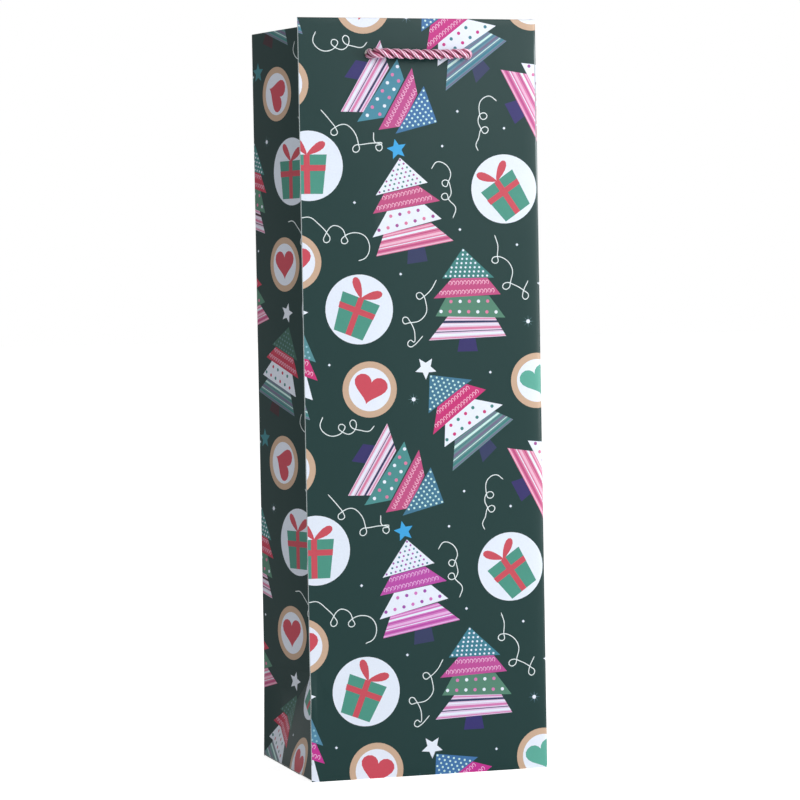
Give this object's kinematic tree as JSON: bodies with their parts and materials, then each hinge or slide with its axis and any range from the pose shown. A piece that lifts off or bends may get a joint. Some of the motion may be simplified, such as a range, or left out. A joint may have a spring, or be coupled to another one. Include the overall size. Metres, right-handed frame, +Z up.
{
  "type": "wine gift bag",
  "caption": "Tall printed paper gift bag for one bottle, with folding side gussets, a block base, a card in the bottom and twisted cord handles at front and back.",
  "frame": {"origin": "centre of the bag's foot, on the surface it stands on", "axes": "+Z up towards the mouth, -Y out of the front wall, +X to the right as seen from the front"},
  "size_m": [0.118, 0.1044, 0.36],
  "materials": {
    "printed_paper": "matte laminated",
    "top_card": "uncoated",
    "base_board": "uncoated",
    "satin_cord": "satin"
  },
  "bodies": {
    "front_wall": {"front_panel": "printed_paper", "glue_tab": "printed_paper", "front_hem": "printed_paper", "front_top_card": "top_card", "front_cord": "satin_cord", "front_left_knot": "satin_cord", "front_right_knot": "satin_cord"},
    "left_front_leaf": {"left_gusset_front": "printed_paper", "left_hem_front": "printed_paper"},
    "left_rear_leaf": {"left_gusset_rear": "printed_paper", "left_hem_rear": "printed_paper"},
    "back_wall": {"back_panel": "printed_paper", "back_hem": "printed_paper", "back_top_card": "top_card", "back_cord": "satin_cord", "back_left_knot": "satin_cord", "back_right_knot": "satin_cord"},
    "right_front_leaf": {"right_gusset_front": "printed_paper", "right_hem_front": "printed_paper"},
    "right_rear_leaf": {"right_gusset_rear": "printed_paper", "right_hem_rear": "printed_paper"},
    "heel_strip": {"back_foot": "printed_paper"},
    "left_heel": {"left_heel_triangle": "printed_paper"},
    "right_heel": {"right_heel_triangle": "printed_paper"},
    "base": {"base_outer_flap": "printed_paper", "base_inner_flap": "printed_paper", "left_dust_flap": "printed_paper", "right_dust_flap": "printed_paper", "base_card": "base_board"},
    "left_foot": {"left_foot_triangle": "printed_paper"},
    "right_foot": {"right_foot_triangle": "printed_paper"}
  },
  "joints": [
    {"name": "side_fold", "type": "hinge", "parent": "front_wall", "child": "left_front_leaf", "pos_m": [-0.0587, -0.0457, 0.18], "axis": [0, 0, -1], "range_deg": [0, 61]},
    {"name": "left_centre_fold", "type": "hinge", "parent": "left_front_leaf", "child": "left_rear_leaf", "pos_m": [-0.04563, -0.00191, 0.18], "axis": [0, 0, 1], "range_deg": [0, 122.01]},
    {"name": "left_back_fold", "type": "hinge", "parent": "left_rear_leaf", "child": "back_wall", "pos_m": [-0.0587, 0.04188, 0.18], "axis": [0, 0, -1], "range_deg": [0, 61.01]},
    {"name": "right_front_fold", "type": "hinge", "parent": "front_wall", "child": "right_front_leaf", "pos_m": [0.0587, -0.0457, 0.18], "axis": [0, 0, 1], "range_deg": [0, 61.01]},
    {"name": "right_centre_fold", "type": "hinge", "parent": "right_front_leaf", "child": "right_rear_leaf", "pos_m": [0.04563, -0.00191, 0.18], "axis": [0, 0, -1], "range_deg": [0, 122.01]},
    {"name": "heel_fold", "type": "hinge", "parent": "back_wall", "child": "heel_strip", "pos_m": [0, 0.04218, 0.046], "axis": [1, 0, 0], "range_deg": [0, 117.36], "deforming": ["back_foot"]},
    {"name": "left_heel_fold", "type": "hinge", "parent": "heel_strip", "child": "left_heel", "pos_m": [-0.0587, 0.04188, 0.04598], "axis": [0, -0.0827, 0.9966], "range_deg": [0, 60.31], "deforming": ["left_heel_triangle"]},
    {"name": "right_heel_fold", "type": "hinge", "parent": "heel_strip", "child": "right_heel", "pos_m": [0.0587, 0.04188, 0.04598], "axis": [0, 0.0827, -0.9966], "range_deg": [0, 60.31], "deforming": ["right_heel_triangle"]},
    {"name": "base_fold", "type": "hinge", "parent": "front_wall", "child": "base", "pos_m": [0, -0.0457, 0.0006], "axis": [1, 0, 0], "range_deg": [0, 49.85]},
    {"name": "left_foot_fold", "type": "hinge", "parent": "base", "child": "left_foot", "pos_m": [-0.0587, 0, 0.0009], "axis": [0, 1, 0], "range_deg": [0, 46.51], "deforming": ["left_foot_triangle"]},
    {"name": "right_foot_fold", "type": "hinge", "parent": "base", "child": "right_foot", "pos_m": [0.0587, 0, 0.0009], "axis": [0, -1, 0], "range_deg": [0, 46.51], "deforming": ["right_foot_triangle"]}
  ],
  "couplings": [
    {"joint": "left_centre_fold", "follows": "side_fold", "ratio": 2},
    {"joint": "left_back_fold", "follows": "side_fold", "ratio": 1},
    {"joint": "right_front_fold", "follows": "side_fold", "ratio": 1},
    {"joint": "right_centre_fold", "follows": "side_fold", "ratio": 2},
    {"joint": "heel_fold", "follows": "side_fold", "ratio": 1.9238},
    {"joint": "left_heel_fold", "follows": "side_fold", "ratio": 0.98852},
    {"joint": "right_heel_fold", "follows": "side_fold", "ratio": 0.98852},
    {"joint": "base_fold", "follows": "side_fold", "ratio": 0.81705},
    {"joint": "left_foot_fold", "follows": "side_fold", "ratio": 0.7623},
    {"joint": "right_foot_fold", "follows": "side_fold", "ratio": 0.7623}
  ]
}
